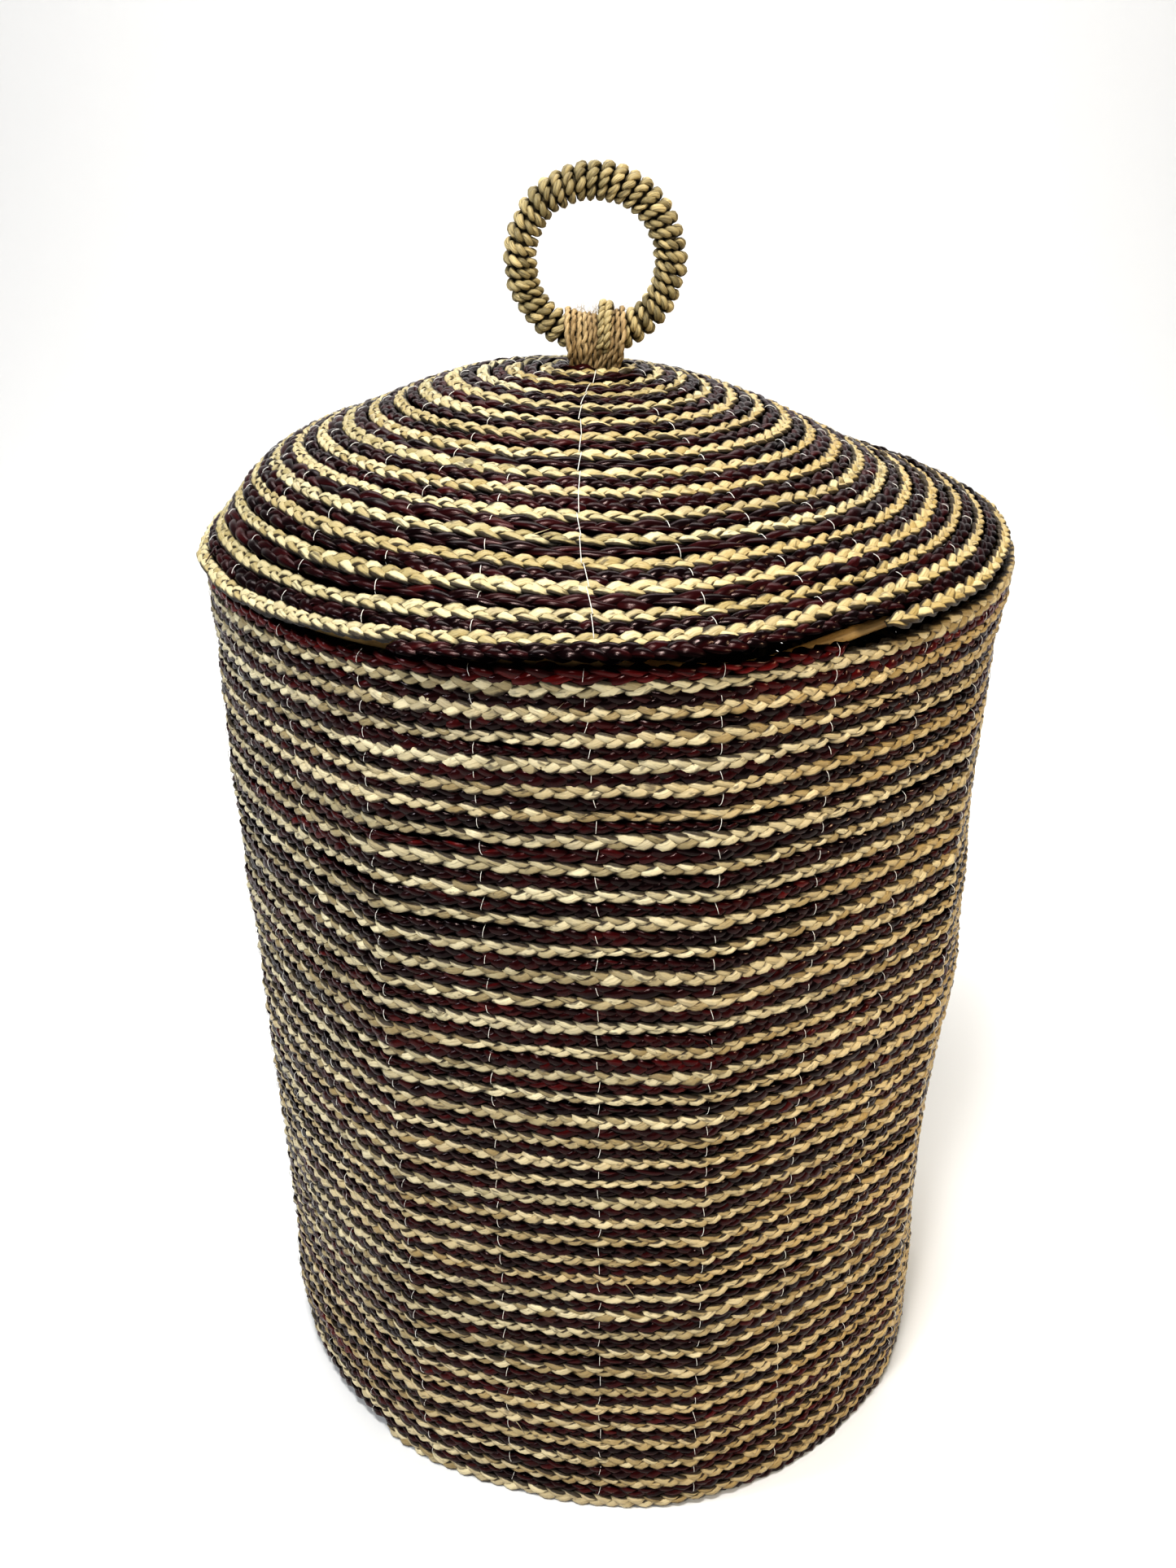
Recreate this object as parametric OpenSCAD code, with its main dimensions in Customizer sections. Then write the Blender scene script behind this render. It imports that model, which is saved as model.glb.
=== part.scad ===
// Coiled laundry hamper with a domed lift-off lid and a ring handle.
// Frame: +Z up, origin in the middle of the base's underside, the front faces -Y.

/* [Wall] */
// Outer radius of the wall at the foot
foot_r = 216; // [190:1:240]
// Outer radius of the wall at the rim
rim_r = 238; // [200:1:260]
// Number of pale rope rows in the wall
wall_rows = 38; // [20:1:44]
// Height of one pale row and one dark row together
wall_pitch = 14.94; // [13:0.02:17]

/* [Ropes] */
// Radius of the pale plaited rope
light_r = 4.6; // [4:0.1:5.2]
// Radius of the dark rope in the wall and the base
dark_r = 2.75; // [2.2:0.05:3]
// Radius of the wider dark rope in the lid
lid_dark_r = 3.5; // [2.5:0.1:3.7]
// Thickness of the inner skin that ties the pale rows together
web_t = 1.7; // [1.2:0.1:2]
// Gap between pieces that lie against each other
seat_gap = 0.15; // [0.1:0.05:0.4]

/* [Base] */
// Number of pale rope rings in the base
base_rows = 14; // [8:1:16]
// Distance from one pale base ring to the next
base_pitch = 14.9; // [13:0.1:16]

/* [Frame canes] */
// Radius of the cane hoops
hoop_r = 3.8; // [2.5:0.1:5]
// Radius of the upright canes inside the wall
stake_r = 3.5; // [2:0.1:4.5]
// Number of upright canes
stakes = 8; // [6:1:10]
// Angle of the first upright cane from the front, towards +X
stake_az = 13.7; // [-20:0.1:30]

/* [Lid] */
// Height of the top of the dome above the floor
lid_top = 666.8; // [640:0.2:700]
// Number of pale rope rows in the lid
lid_rows = 15; // [8:1:18]
// Distance along the dome from one pale row to the next
lid_pitch = 16.6; // [15:0.1:18]
// Distance along the dome from its middle to the first pale row
lid_start = 25.4; // [22:0.1:32]
// Radius of the hole that the handle's twine goes through
lid_hole_r = 14; // [12:0.5:16]
// Number of canes under the dome
ribs = 4; // [3:1:6]

/* [Ring handle] */
// Radius of the ring, to the middle of its tube
ring_R = 42.5; // [34:0.5:48]
// Radius of the wound tube
ring_tube_r = 9; // [7:0.5:10]
// Radius of the cane core
ring_core_r = 4.5; // [3:0.5:5.5]
// Height of the middle of the ring
ring_z = 722.4; // [715:0.1:740]
// Sideways offset of the handle, as the dome's top is a little off centre
ring_x = -7; // [-10:0.5:10]
// Half width of the twine lashing
lash_w = 13; // [9:0.5:14]

/* [Stitching] */
// Number of thread lines down the wall
wall_seams = 24; // [12:1:30]
// Radius of the thread
thread_r = 0.4; // [0.3:0.05:0.6]

/* [Hidden] */
$fn = 96;

straw = [0.80, 0.72, 0.47];
maroon = [0.20, 0.06, 0.08];
cane = [0.66, 0.50, 0.30];
seagrass = [0.55, 0.50, 0.32];
jute = [0.70, 0.53, 0.31];
nylon = [0.92, 0.92, 0.90];

// heights
z0 = light_r;                                   // middle of the lowest pale row
wall_top = z0 + wall_pitch * (wall_rows - 0.5); // middle of the top dark row
rim_z = wall_top + dark_r;                      // top of the wall
function out_r(z) = foot_r + (rim_r - foot_r) * z / rim_z; // outer face of the wall
function mid_r(z) = out_r(z) - light_r;         // middle of the rows
function in_r(z) = out_r(z) - 2 * light_r;      // inner face of the wall
base_z = 4.2;                                   // middle of the base's rings
floor_z = 2 * light_r - 0.4;                    // top of the base
base_start = 8;                                 // first pale base ring

// dome: slope angle at fraction u of the way from its middle to its edge
lid_arc = lid_start + lid_pitch * (lid_rows - 1);
function slope(u) = 63 * u - 36.5 * u * u + 10.5 * pow(u, 6);
steps = 60;
// running sums give the dome's outline as [radius, drop, angle]
function dome(i = 0, r = 0, d = 0) =
    i > steps ? [] :
    let (a = slope(min(1, (i + 0.5) / steps)), l = lid_arc / steps)
    concat([[r, d, slope(i / steps)]], dome(i + 1, r + l * cos(a), d + l * sin(a)));
outline = dome();
// point on the dome, s along it from the middle and q below its face
function dome_pt(s, q) =
    let (f = min(steps - 0.001, s / lid_arc * steps), i = floor(f), t = f - i,
         over = max(0, s - lid_arc),
         p = outline[i] * (1 - t) + outline[i + 1] * t, a = p[2])
    [p[0] + over * cos(a) - q * sin(a), lid_top - p[1] - over * sin(a) - q * cos(a)];

hinge_z = ring_z - ring_R;  // the ring's tilt axis, in the lowest part of its tube

// ring of round section, in the XY plane; a rope's ring has a many-sided section
module hoop(R, r, z, sides = 48) { rotate_extrude() translate([R, z]) circle(r, $fn = sides); }
light_sides = 12;
dark_sides = 8;
// straight round cane from a to b
module rod(a, b, r) {
    v = b - a; l = norm(v);
    translate(a) rotate([0, acos(v[2] / l), atan2(v[1], v[0])]) cylinder(r = r, h = l, $fn = 32);
}
// point at height z, radius r and angle az from the front
function at(r, az, z) = [r * sin(az), -r * cos(az), z];

// pale rope of the wall: its rows, tied together behind the dark rows
module wall_rope_light() {
    color(straw) rotate_extrude() {
        for (i = [0 : wall_rows - 1]) let (z = z0 + i * wall_pitch) translate([mid_r(z), z]) circle(light_r, $fn = light_sides);
        polygon([[in_r(z0) + 0.3, z0], [in_r(z0) + web_t, z0], [in_r(rim_z - 1) + web_t, rim_z - 1], [in_r(rim_z - 1) + 0.3, rim_z - 1]]);
    }
}
// dark rope of the wall, in the hollows between the pale rows
module wall_rope_dark() {
    color(maroon) for (i = [0 : wall_rows - 1]) let (z = z0 + (i + 0.5) * wall_pitch)
        hoop(mid_r(z) + 0.1, dark_r - seat_gap / 2, z, dark_sides);
}
// pale rope of the base, flat underneath
module base_rope_light() {
    color(straw) rotate_extrude() difference() {
        union() {
            for (i = [0 : base_rows - 1]) translate([base_start + i * base_pitch, base_z]) circle(light_r, $fn = light_sides);
            translate([0, floor_z - web_t]) square([base_start + (base_rows - 1) * base_pitch, web_t]);
            square([base_start, floor_z]);
        }
        translate([-1, -light_r]) square([foot_r, light_r]);
        translate([-20, -20]) square([20, 60]);
    }
}
module base_rope_dark() {
    color(maroon) for (i = [0 : base_rows - 2])
        hoop(base_start + (i + 0.5) * base_pitch, dark_r - seat_gap, base_z, dark_sides);
}
// cane hoop in the mouth, a little above the top row
rim_hoop_z = rim_z - 2.1;
rim_hoop_R = in_r(rim_z) - hoop_r - seat_gap - 0.1;
module rim_hoop() { color(cane) hoop(rim_hoop_R, hoop_r, rim_hoop_z); }
// cane hoop in the corner between the wall and the base
base_hoop_z = floor_z + hoop_r + 0.2;
base_hoop_R = in_r(base_hoop_z) - hoop_r - 0.3;
module base_hoop() { color(cane) hoop(base_hoop_R, hoop_r, base_hoop_z); }
// upright cane k, between the two hoops
stake_lo = base_hoop_z + hoop_r + 0.4;
stake_hi = rim_hoop_z - hoop_r - 0.6;
module stake(k) {
    a = stake_az + 360 / stakes * (k - 1);
    color(cane) rod(at(in_r(stake_lo) - stake_r - 0.3, a, stake_lo), at(in_r(stake_hi) - stake_r - 0.3, a, stake_hi), stake_r);
}
// crossed canes on the base, the second on top of the first
bar_l = base_hoop_R - hoop_r - 1;
module base_cross_bar(k) {
    a = stake_az + 90 * k;
    z = floor_z + stake_r + 0.2 + (k - 1) * (2 * stake_r + 0.2);
    l = k == 1 ? bar_l : bar_l - 3;
    color(cane) rod(at(-l, a, z), at(l, a, z), stake_r);
}
// thread lines down the inside of the wall, between the upright canes' lines
module wall_stitching() {
    color(nylon) for (k = [0 : wall_seams - 1]) let (a = stake_az + 360 / wall_seams * (k + 0.5), lo = stake_lo + 4, hi = stake_hi - 4)
        rod(at(in_r(lo) - thread_r - seat_gap, a, lo), at(in_r(hi) - thread_r - seat_gap, a, hi), thread_r);
}
module base_stitching() {
    color(nylon) for (k = [0 : 11]) let (a = stake_az + 15 + 30 * k, z = floor_z + thread_r + 0.1)
        rod(at(20, a, z), at(base_hoop_R - hoop_r - 3, a, z), thread_r);
}
// pale rope of the dome, tied together under the dark rows
module lid_rope_light() {
    q0 = 2 * light_r - 0.5; q1 = q0 - web_t;
    ss = concat([lid_hole_r + 1], [for (i = [0 : lid_rows - 2]) lid_start + (i + 0.5) * lid_pitch], [lid_arc]);
    n = len(ss) - 1;
    color(straw) rotate_extrude() {
        polygon(concat([for (i = [0 : n]) dome_pt(ss[i], q0)], [for (i = [n : -1 : 0]) dome_pt(ss[i], q1)]));
        for (i = [0 : lid_rows - 1]) translate(dome_pt(lid_start + i * lid_pitch, light_r)) circle(light_r, $fn = light_sides);
    }
}
module lid_rope_dark() {
    color(maroon) for (i = [0 : lid_rows - 1]) let (p = dome_pt(lid_start + (i - 0.5) * lid_pitch, 3.3))
        hoop(p[0], (i == 0 ? 0.75 : 1) * (lid_dark_r - seat_gap), p[1], dark_sides);
}
// cane hoop inside the lid's edge, which drops just inside the rim hoop
lid_hoop_R = rim_hoop_R - 2 * hoop_r - 1;
lid_hoop_z = rim_hoop_z + hoop_r + 0.9;
module lid_hoop() { color(cane) hoop(lid_hoop_R, hoop_r, lid_hoop_z); }
// curved cane k under the dome, an arc that follows its slope
rib_bend = 430;
rib_a = dome_pt(34, 2 * light_r + stake_r + 1.2);
rib_b = dome_pt(lid_arc - 24, 2 * light_r + stake_r + 1.2);
module lid_rib(k) {
    v = rib_b - rib_a; c = norm(v); tilt = atan2(-v[1], v[0]);
    half = asin(c / 2 / rib_bend);
    m = (rib_a + rib_b) / 2;
    h = rib_bend * cos(half);
    color(cane) rotate([0, 0, stake_az + 45 + 360 / ribs * (k - 1)]) translate([m[0], 0, m[1]]) rotate([0, tilt, 0])
        translate([0, 0, -h]) rotate([90, 0, 0]) rotate([0, 0, 90 - half])
            rotate_extrude(angle = 2 * half) translate([rib_bend, 0]) circle(stake_r, $fn = 32);
}
// thread lines on the inside of the dome, at the same depth as the canes
module lid_stitching() {
    color(nylon) for (k = [0 : 11]) for (j = [0 : 3]) let (a = stake_az + 30 * k, s = 50 + 48 * j,
        p = dome_pt(s, 2 * light_r + 2.2), q = dome_pt(s + 40, 2 * light_r + 2.2))
        rod(at(p[0], a, p[1]), at(q[0], a, q[1]), thread_r);
}
// twine lashing: a neck through the lid and a band over the ring's tube,
// open where the ring swings
module handle_lashing() {
    translate([ring_x, 0, 0]) color(jute) difference() {
        union() {
            translate([0, 0, hinge_z]) rotate([0, 90, 0]) cylinder(r = lash_r, h = 2 * lash_w, center = true);
            intersection() {
                translate([-lash_w, -lash_r, lash_lo]) cube([2 * lash_w, 2 * lash_r, hinge_z - lash_lo]);
                translate([0, 0, lash_lo]) cylinder(r = lash_r + 0.8, h = 60);
            }
            translate([-ring_x, 0, lid_top - 3 * light_r]) cylinder(r = neck_r, h = 3 * light_r + 1);
        }
        translate([0, 0, hinge_z]) rotate([0, 90, 0]) difference() {
            cylinder(r = 20, h = 60, center = true);
            rotate_extrude() translate([ring_R, 0]) circle(ring_R - ring_tube_r - 0.5);
        }
    }
}
lash_r = 14.5;
lash_lo = lid_top + 0.4;
neck_r = 5.5;
// knot of the twine under the lid
module lashing_knot() {
    color(jute) translate([0, 0, lid_top - 3 * light_r - 9.2]) rotate_extrude() {
        intersection() { translate([9, 4.5]) circle(4.5, $fn = 48); square([20, 9]); }
        square([9, 9]);
    }
}
// ring handle, standing up across the front
module ring_core() {
    color(cane) translate([ring_x, 0, ring_z]) rotate([90, 0, 0]) hoop(ring_R, ring_core_r, 0);
}
module ring_wrap() {
    color(seagrass) translate([ring_x, 0, ring_z]) rotate([90, 0, 0]) rotate_extrude() translate([ring_R, 0]) difference() {
        circle(ring_tube_r, $fn = 64);
        circle(ring_core_r + seat_gap, $fn = 48);
    }
}

wall_rope_light();
wall_rope_dark();
base_rope_light();
base_rope_dark();
rim_hoop();
base_hoop();
stake(1);  // stake_1
stake(2);  // stake_2
stake(3);  // stake_3
stake(4);  // stake_4
stake(5);  // stake_5
stake(6);  // stake_6
stake(7);  // stake_7
stake(8);  // stake_8
base_cross_bar(1);  // base_cross_bar_1
base_cross_bar(2);  // base_cross_bar_2
wall_stitching();
base_stitching();
lid_rope_light();
lid_rope_dark();
lid_hoop();
lid_rib(1);  // lid_rib_1
lid_rib(2);  // lid_rib_2
lid_rib(3);  // lid_rib_3
lid_rib(4);  // lid_rib_4
lid_stitching();
handle_lashing();
lashing_knot();
ring_core();
ring_wrap();
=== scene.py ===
import math
import bpy
import numpy as np
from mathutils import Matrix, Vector


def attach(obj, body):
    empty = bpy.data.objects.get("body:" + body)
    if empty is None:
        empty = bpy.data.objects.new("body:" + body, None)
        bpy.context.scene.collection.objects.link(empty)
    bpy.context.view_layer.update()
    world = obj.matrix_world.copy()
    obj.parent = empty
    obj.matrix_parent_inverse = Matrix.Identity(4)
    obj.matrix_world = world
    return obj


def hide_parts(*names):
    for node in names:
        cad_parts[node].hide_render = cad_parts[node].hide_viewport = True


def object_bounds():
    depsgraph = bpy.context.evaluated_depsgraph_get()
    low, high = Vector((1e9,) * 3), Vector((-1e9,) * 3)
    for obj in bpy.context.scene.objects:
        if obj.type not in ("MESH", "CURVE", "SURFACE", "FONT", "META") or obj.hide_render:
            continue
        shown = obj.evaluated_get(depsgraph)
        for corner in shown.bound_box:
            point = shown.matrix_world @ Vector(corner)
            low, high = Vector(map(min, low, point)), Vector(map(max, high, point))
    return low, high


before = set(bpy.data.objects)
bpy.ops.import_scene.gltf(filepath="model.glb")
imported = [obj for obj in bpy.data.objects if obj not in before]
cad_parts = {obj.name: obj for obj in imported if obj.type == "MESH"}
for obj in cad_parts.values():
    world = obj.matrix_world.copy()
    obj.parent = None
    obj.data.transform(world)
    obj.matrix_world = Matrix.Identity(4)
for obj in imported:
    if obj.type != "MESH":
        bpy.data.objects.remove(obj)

CAD_LO, CAD_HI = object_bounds()
TAU = 2 * math.pi

# ---------------------------------------------------------------- sizes, in mm, as in the CAD
LIGHT_R = 4.6
ROW = 14.94                      # one pale and one dark row
Z0 = 4.6
RIM_Z = 567.5
FOOT_R, RIM_R = 216.0, 238.0
STAKE_AZ = 13.7
LID_TOP = 666.8
LID_START, LID_ROW, LID_N = 25.4, 16.6, 15
LID_ARC = LID_START + LID_ROW * (LID_N - 1)
RING_R, RING_X, RING_Z, HINGE_Z = 42.5, -7.0, 722.4, 679.9


# ---------------------------------------------------------------- numbers
def noise(x, seed, scale):
    """Smooth noise from -1 to 1 with features about `scale` long."""
    tab = np.random.RandomState(seed).uniform(-1, 1, 4096)
    t = np.asarray(x, float) / scale + 100.0 + seed * 7.13
    i = np.floor(t).astype(int)
    f = t - i
    f = f * f * (3 - 2 * f)
    return tab[i % 4096] * (1 - f) + tab[(i + 1) % 4096] * f


def steps(x, seed, scale, soft=0.12):
    """Noise that holds a value for about `scale` and then changes quickly, as one leaf gives way to the next."""
    tab = np.random.RandomState(seed).uniform(0, 1, 4096)
    t = np.asarray(x, float) / scale + 50.0 + 0.35 * noise(x, seed + 1, scale * 1.7)
    i = np.floor(t).astype(int)
    f = np.clip(((t - i) - (1 - soft)) / soft, 0, 1)
    return tab[i % 4096] * (1 - f) + tab[(i + 1) % 4096] * f


def unit(v):
    return v / np.maximum(np.linalg.norm(v, axis=1, keepdims=True), 1e-12)


def smooth(x, a, b):
    t = np.clip((np.asarray(x, float) - a) / (b - a), 0, 1)
    return t * t * (3 - 2 * t)


def bell(x, at, width):
    return np.exp(-(((x - at) / width) ** 2))


def angle_gap(th, deg):
    """Angle from a bearing, in degrees, from -180 to 180."""
    return (np.degrees(th) - deg + 180) % 360 - 180


# ---------------------------------------------------------------- the wall's and the lid's shape
def wall_r(th, z):
    """Radius of the wall's outer face: a slightly tapered round with soft facets between the upright canes."""
    z = np.asarray(z, float)
    base = FOOT_R + (RIM_R - FOOT_R) * z / RIM_Z
    a = ((np.degrees(th) - STAKE_AZ) % 45) - 22.5
    flat = base * (math.cos(math.radians(22.5)) / np.cos(np.radians(a)) - 0.949)
    k = 0.42 * smooth(z, -20, 60) * (1 - 0.8 * smooth(z, 440, 560))
    r = base + k * flat
    r = r + 1.3 * noise(np.degrees(th) % 360 + 40 * noise(z, 5, 170), 3, 33) * smooth(z, 0, 80) * (1 - smooth(z, 500, 560))
    r = r + 0.8 * noise(z + 30 * np.sin(th), 11, 38)
    g = angle_gap(th, 92)
    r = r + 4.0 * bell(g, 0, 34) * smooth(z, 515, 560)
    r = r - 3.0 * bell(g, 0, 26) * bell(z, 128, 36) + 5.5 * bell(g, 0, 30) * bell(z, 330, 60) + 3.5 * bell(g, 0, 34) * bell(z, 30, 50)
    g = angle_gap(th, -92)
    r = r + 3.6 * bell(g, 0, 40) * bell(z, 30, 60) - 0.5 * bell(g, 0, 30) * bell(z, 250, 60)
    g = angle_gap(th, 18)
    r = r + 6.5 * bell(g, 0, 26) * (1 - smooth(z, 10, 110)) - 2.0 * bell(angle_gap(th, -20), 0, 20) * (1 - smooth(z, 5, 70))
    g = angle_gap(th, 92)
    r = r + 4.5 * bell(g, 0, 28) * bell(z, 275, 40) - 3.0 * bell(g, 0, 28) * bell(z, 180, 30) - 2.5 * bell(angle_gap(th, -90), 0, 30) * bell(z, 215, 70)
    return r


def basket_at(th, m, depth):
    """Rope centre on the basket at turn angle th and distance m along the profile: 0 at the foot of the wall, up the wall, and less than 0 in towards the base's middle. Returns (point, outward normal)."""
    z = Z0 + np.maximum(m, 0)
    zz = np.minimum(z, RIM_Z)
    r = wall_r(th, zz) - depth
    r_foot = wall_r(th, np.full_like(zz, Z0)) - depth
    inner = np.maximum(r_foot + m, 0.5)
    # nearer the middle of the base the spiral is a true circle
    inner = inner * 1.0
    rr = np.where(m < 0, inner + (FOOT_R - depth - r_foot) * smooth(-m, 0, 60), r)
    zc = np.where(m < 0, Z0 + 0.0 * m, z)
    zc = zc + np.where(m > 8, 0.55 * noise(np.degrees(th) * 4.0 + m * 2.3, 21, 60), 0.0) * (1 - smooth(m, 540, 556))
    p = np.stack([rr * np.sin(th), -rr * np.cos(th), zc], 1)
    tilt = np.where(m < 0, math.pi / 2 * smooth(-m, 0, 7), 0)   # turns from outward to downward
    n = np.stack([np.sin(th) * np.cos(tilt), -np.cos(th) * np.cos(tilt), -np.sin(tilt)], 1)
    return p, n


def slope(u):
    return 63 * u - 36.5 * u * u + 10.5 * u ** 6


_u = (np.arange(400) + 0.5) / 400
_ds = LID_ARC / 400
_DR = np.concatenate([[0], np.cumsum(np.cos(np.radians(slope(_u))) * _ds)])
_DZ = np.concatenate([[0], np.cumsum(np.sin(np.radians(slope(_u))) * _ds)])
_S = np.linspace(0, LID_ARC, 401)
_END = math.radians(slope(1.0))


def dome_at(th, s, depth):
    """Point on the dome, s along it from its middle and depth under its face, with the outward normal."""
    s = np.asarray(s, float)
    over = np.maximum(s - LID_ARC, 0)
    a = np.radians(slope(np.clip(s / LID_ARC, 0, 1)))
    r = np.interp(s, _S, _DR) + over * math.cos(_END) - depth * np.sin(a)
    z = LID_TOP - np.interp(s, _S, _DZ) - over * math.sin(_END) - depth * np.cos(a)
    w = smooth(s, 60, 250)
    # gentle corners over the dome's canes, and a lopsided sit: the right side rides a little high
    a4 = ((np.degrees(th) - STAKE_AZ) % 45) - 22.5
    r = r * (1 + 0.14 * w * (math.cos(math.radians(22.5)) / np.cos(np.radians(a4)) - 0.949))
    z = z + 0.9 * noise(np.degrees(th) % 360 * 1.0 + s * 0.35, 41, 47) * w + 0.7 * noise(s + 25 * np.cos(th), 43, 30) * (1 - smooth(s, 200, 250))
    lift = 9.5 * ((1 + np.cos(th - math.radians(74))) / 2) ** 3
    z = z + lift * smooth(s, 165, 264)
    r = r - 5.5 * bell(angle_gap(th, 66), 0, 38) * smooth(s, 215, 262)
    # the front edge stands off the rim, and the left shoulder is fuller than the right
    pull = np.interp(s, [20, 42, 90, 108, 141, 158, 191, 208, 225, 241, 258, 266, 280], [2.5, -0.5, 1, 2, 2, 3.5, 3, 1, 1.2, 1, 3, 5, 5.5])
    z = z + pull * ((1 + np.cos(th)) / 2) ** 2
    full = smooth(s, 25, 80) * (1 - smooth(s, 175, 262))
    right = ((1 + np.cos(th - math.radians(108))) / 2) ** 1.5
    z = z + full * (1.2 - 3.4 * np.sin(th)) - 3.0 * right * bell(s, 175, 60) + 8.0 * np.maximum(0, -np.sin(th)) * bell(s, 218, 42) - 7.0 * bell(angle_gap(th, -60), 0, 36) * smooth(s, 205, 262)
    x0 = RING_X + 5.0 * (np.clip(s, 0, 270) / 258) ** 2 - 6.5 * full
    side = r * np.sin(th) * (1 - 0.018 * smooth(s, 170, 240)) - 6.0 * right * bell(s, 215, 65)
    p = np.stack([x0 + side, -r * np.cos(th), z], 1)
    n = np.stack([np.sin(th) * np.sin(a), -np.cos(th) * np.sin(a), np.cos(a)], 1)
    return p, n


# ---------------------------------------------------------------- swept strands
class Bundle:
    """Collects swept tubes and turns them into one mesh object, with a map along each strand and a packed map for baking."""

    def __init__(self, name):
        self.name, self.parts = name, []

    def tube(self, c, wdir, ndir, w, t, m, attrs, u=None, fold=0.0, seed=0, deep=None):
        """c: centres. wdir, ndir: the section's width and thickness directions. w, t: half sizes. m: sides. fold: how
        creased the skin is. deep: (rope centre, outward normal, reach) for the depth map, which the materials turn into
        painted shade.
        """
        k = len(c)
        w = np.broadcast_to(np.asarray(w, float), (k,))
        t = np.broadcast_to(np.asarray(t, float), (k,))
        al = TAU * np.arange(m) / m
        ca, sa = np.cos(al)[None, :], np.sin(al)[None, :]
        if u is None:
            u = np.concatenate([[0], np.cumsum(np.linalg.norm(np.diff(c, axis=0), axis=1))])
        u = np.asarray(u, float)
        if fold:
            # lengthwise folds that come and go, each side of the section on its own
            g = np.stack([noise(u, seed + 301 + 7 * j, 11) + 0.6 * noise(u, seed + 401 + 7 * j, 4.5) for j in range(m)], 1)
            g = 1 + fold * g
            ca, sa = ca * g, sa * g
        v = c[:, None, :] + (w[:, None] * ca)[:, :, None] * wdir[:, None, :] + (t[:, None] * sa)[:, :, None] * ndir[:, None, :]
        full = {a: np.broadcast_to(np.asarray(b, float), (k,)) for a, b in attrs.items()}
        if deep is not None:
            pc, pn, reach = deep
            dd = np.einsum("kmi,ki->km", v - pc[:, None, :], pn) / reach
            full["deep"] = np.clip(np.maximum(dd, 2.2 * (-dd - 0.55)), -1, 1.3)    # the side turned inwards gets as little painted shade as the outer one
        else:
            full["deep"] = np.ones(k)
        self.parts.append((v.astype(np.float32), k, m, u, full))

    def quads(self):
        return sum((k - 1) * m for _, k, m, _, _ in self.parts)

    def build(self, material, body, replaces=()):
        nq = self.quads()
        names = sorted({a for p in self.parts for a in p[4]})
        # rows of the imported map: each holds `cols` rings
        cols = max(40, int(math.sqrt(nq / 8) * 1.9))
        total_rings = sum(k - 1 for _, k, _, _, _ in self.parts)
        rows = total_rings // cols + 1
        co, loops, starts, uv, bake, vals = [], [], [], [], [], {a: [] for a in names}
        base, ring, nl = 0, 0, 0
        for v, k, m, u, at in self.parts:
            co.append(v.reshape(-1, 3))
            r = np.arange(k - 1)[:, None]
            j = np.arange(m)[None, :]
            j2 = (j + 1) % m
            a = base + r * m + j
            b = base + (r + 1) * m + j
            c = base + (r + 1) * m + j2
            d = base + r * m + j2
            loops.append(np.stack([a, b, c, d], 2).reshape(-1))
            u = u * 0.001
            u0, u1 = u[:-1, None] + 0 * j, u[1:, None] + 0 * j
            v0, v1 = j / m + 0 * r, (j + 1) / m + 0 * r
            uv.append(np.stack([u0, v0, u1, v0, u1, v1, u0, v1], 2).reshape(-1, 2))
            g = ring + r
            row, col = g // cols, g % cols
            x0, x1 = (col + 0.0) / cols + 0 * j, (col + 1.0) / cols + 0 * j
            y0 = (row + 0.04 + 0.92 * j / m) / rows
            y1 = (row + 0.04 + 0.92 * (j + 1) / m) / rows
            bake.append(np.stack([x0, y0, x1, y0, x1, y1, x0, y1], 2).reshape(-1, 2))
            ring += k - 1
            n = (k - 1) * m
            starts.append(nl + 4 * np.arange(n))
            nl += 4 * n
            # closed ends
            for first, order in ((base, np.arange(m)), (base + (k - 1) * m, np.arange(m)[::-1])):
                loops.append(first + order)
                starts.append(np.array([nl]))
                nl += m
                uu = u[0] if first == base else u[-1]
                uv.append(np.stack([np.full(m, uu), order / m], 1))
                bake.append(np.stack([np.full(m, 0.0005), np.full(m, 0.0005)], 1) + 0.0002 * np.stack([np.cos(TAU * order / m), np.sin(TAU * order / m)], 1))
            for nm in names:
                q = at.get(nm, np.zeros(k))
                vals[nm].append(q.reshape(-1) if q.ndim == 2 else np.repeat(q, m))
            base += k * m
        co = np.concatenate(co)
        if body == "basket":                   # the floor presses the lowest strands flat
            co[:, 2] = np.where(co[:, 2] < 1.2, 0.2 + np.exp(np.minimum(co[:, 2] - 1.2, 0)), co[:, 2])
        co = co * 0.001
        loops = np.concatenate(loops).astype(np.int32)
        starts = np.concatenate(starts).astype(np.int32)
        me = bpy.data.meshes.new(self.name)
        me.vertices.add(len(co))
        me.vertices.foreach_set("co", co.astype(np.float32).ravel())
        me.loops.add(len(loops))
        me.loops.foreach_set("vertex_index", loops)
        me.polygons.add(len(starts))
        me.polygons.foreach_set("loop_start", starts)
        me.update(calc_edges=True)
        me.shade_smooth()
        lay = me.uv_layers.new(name="OFBake")
        lay.data.foreach_set("uv", np.concatenate(bake).astype(np.float32).ravel())
        lay = me.uv_layers.new(name="rope")
        lay.data.foreach_set("uv", np.concatenate(uv).astype(np.float32).ravel())
        for nm in names:
            at = me.attributes.new(nm, "FLOAT", "POINT")
            at.data.foreach_set("value", np.concatenate(vals[nm]).astype(np.float32))
        ob = bpy.data.objects.new(self.name, me)
        bpy.context.scene.collection.objects.link(ob)
        me.materials.append(material)
        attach(ob, body)
        if replaces:
            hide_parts(*replaces)
        return ob


def frames(p, n):
    """Tangent, across and outward directions along a path."""
    t = unit(np.gradient(p, axis=0))
    a = unit(np.cross(n, t))
    return t, a, unit(np.cross(t, a))


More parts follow.
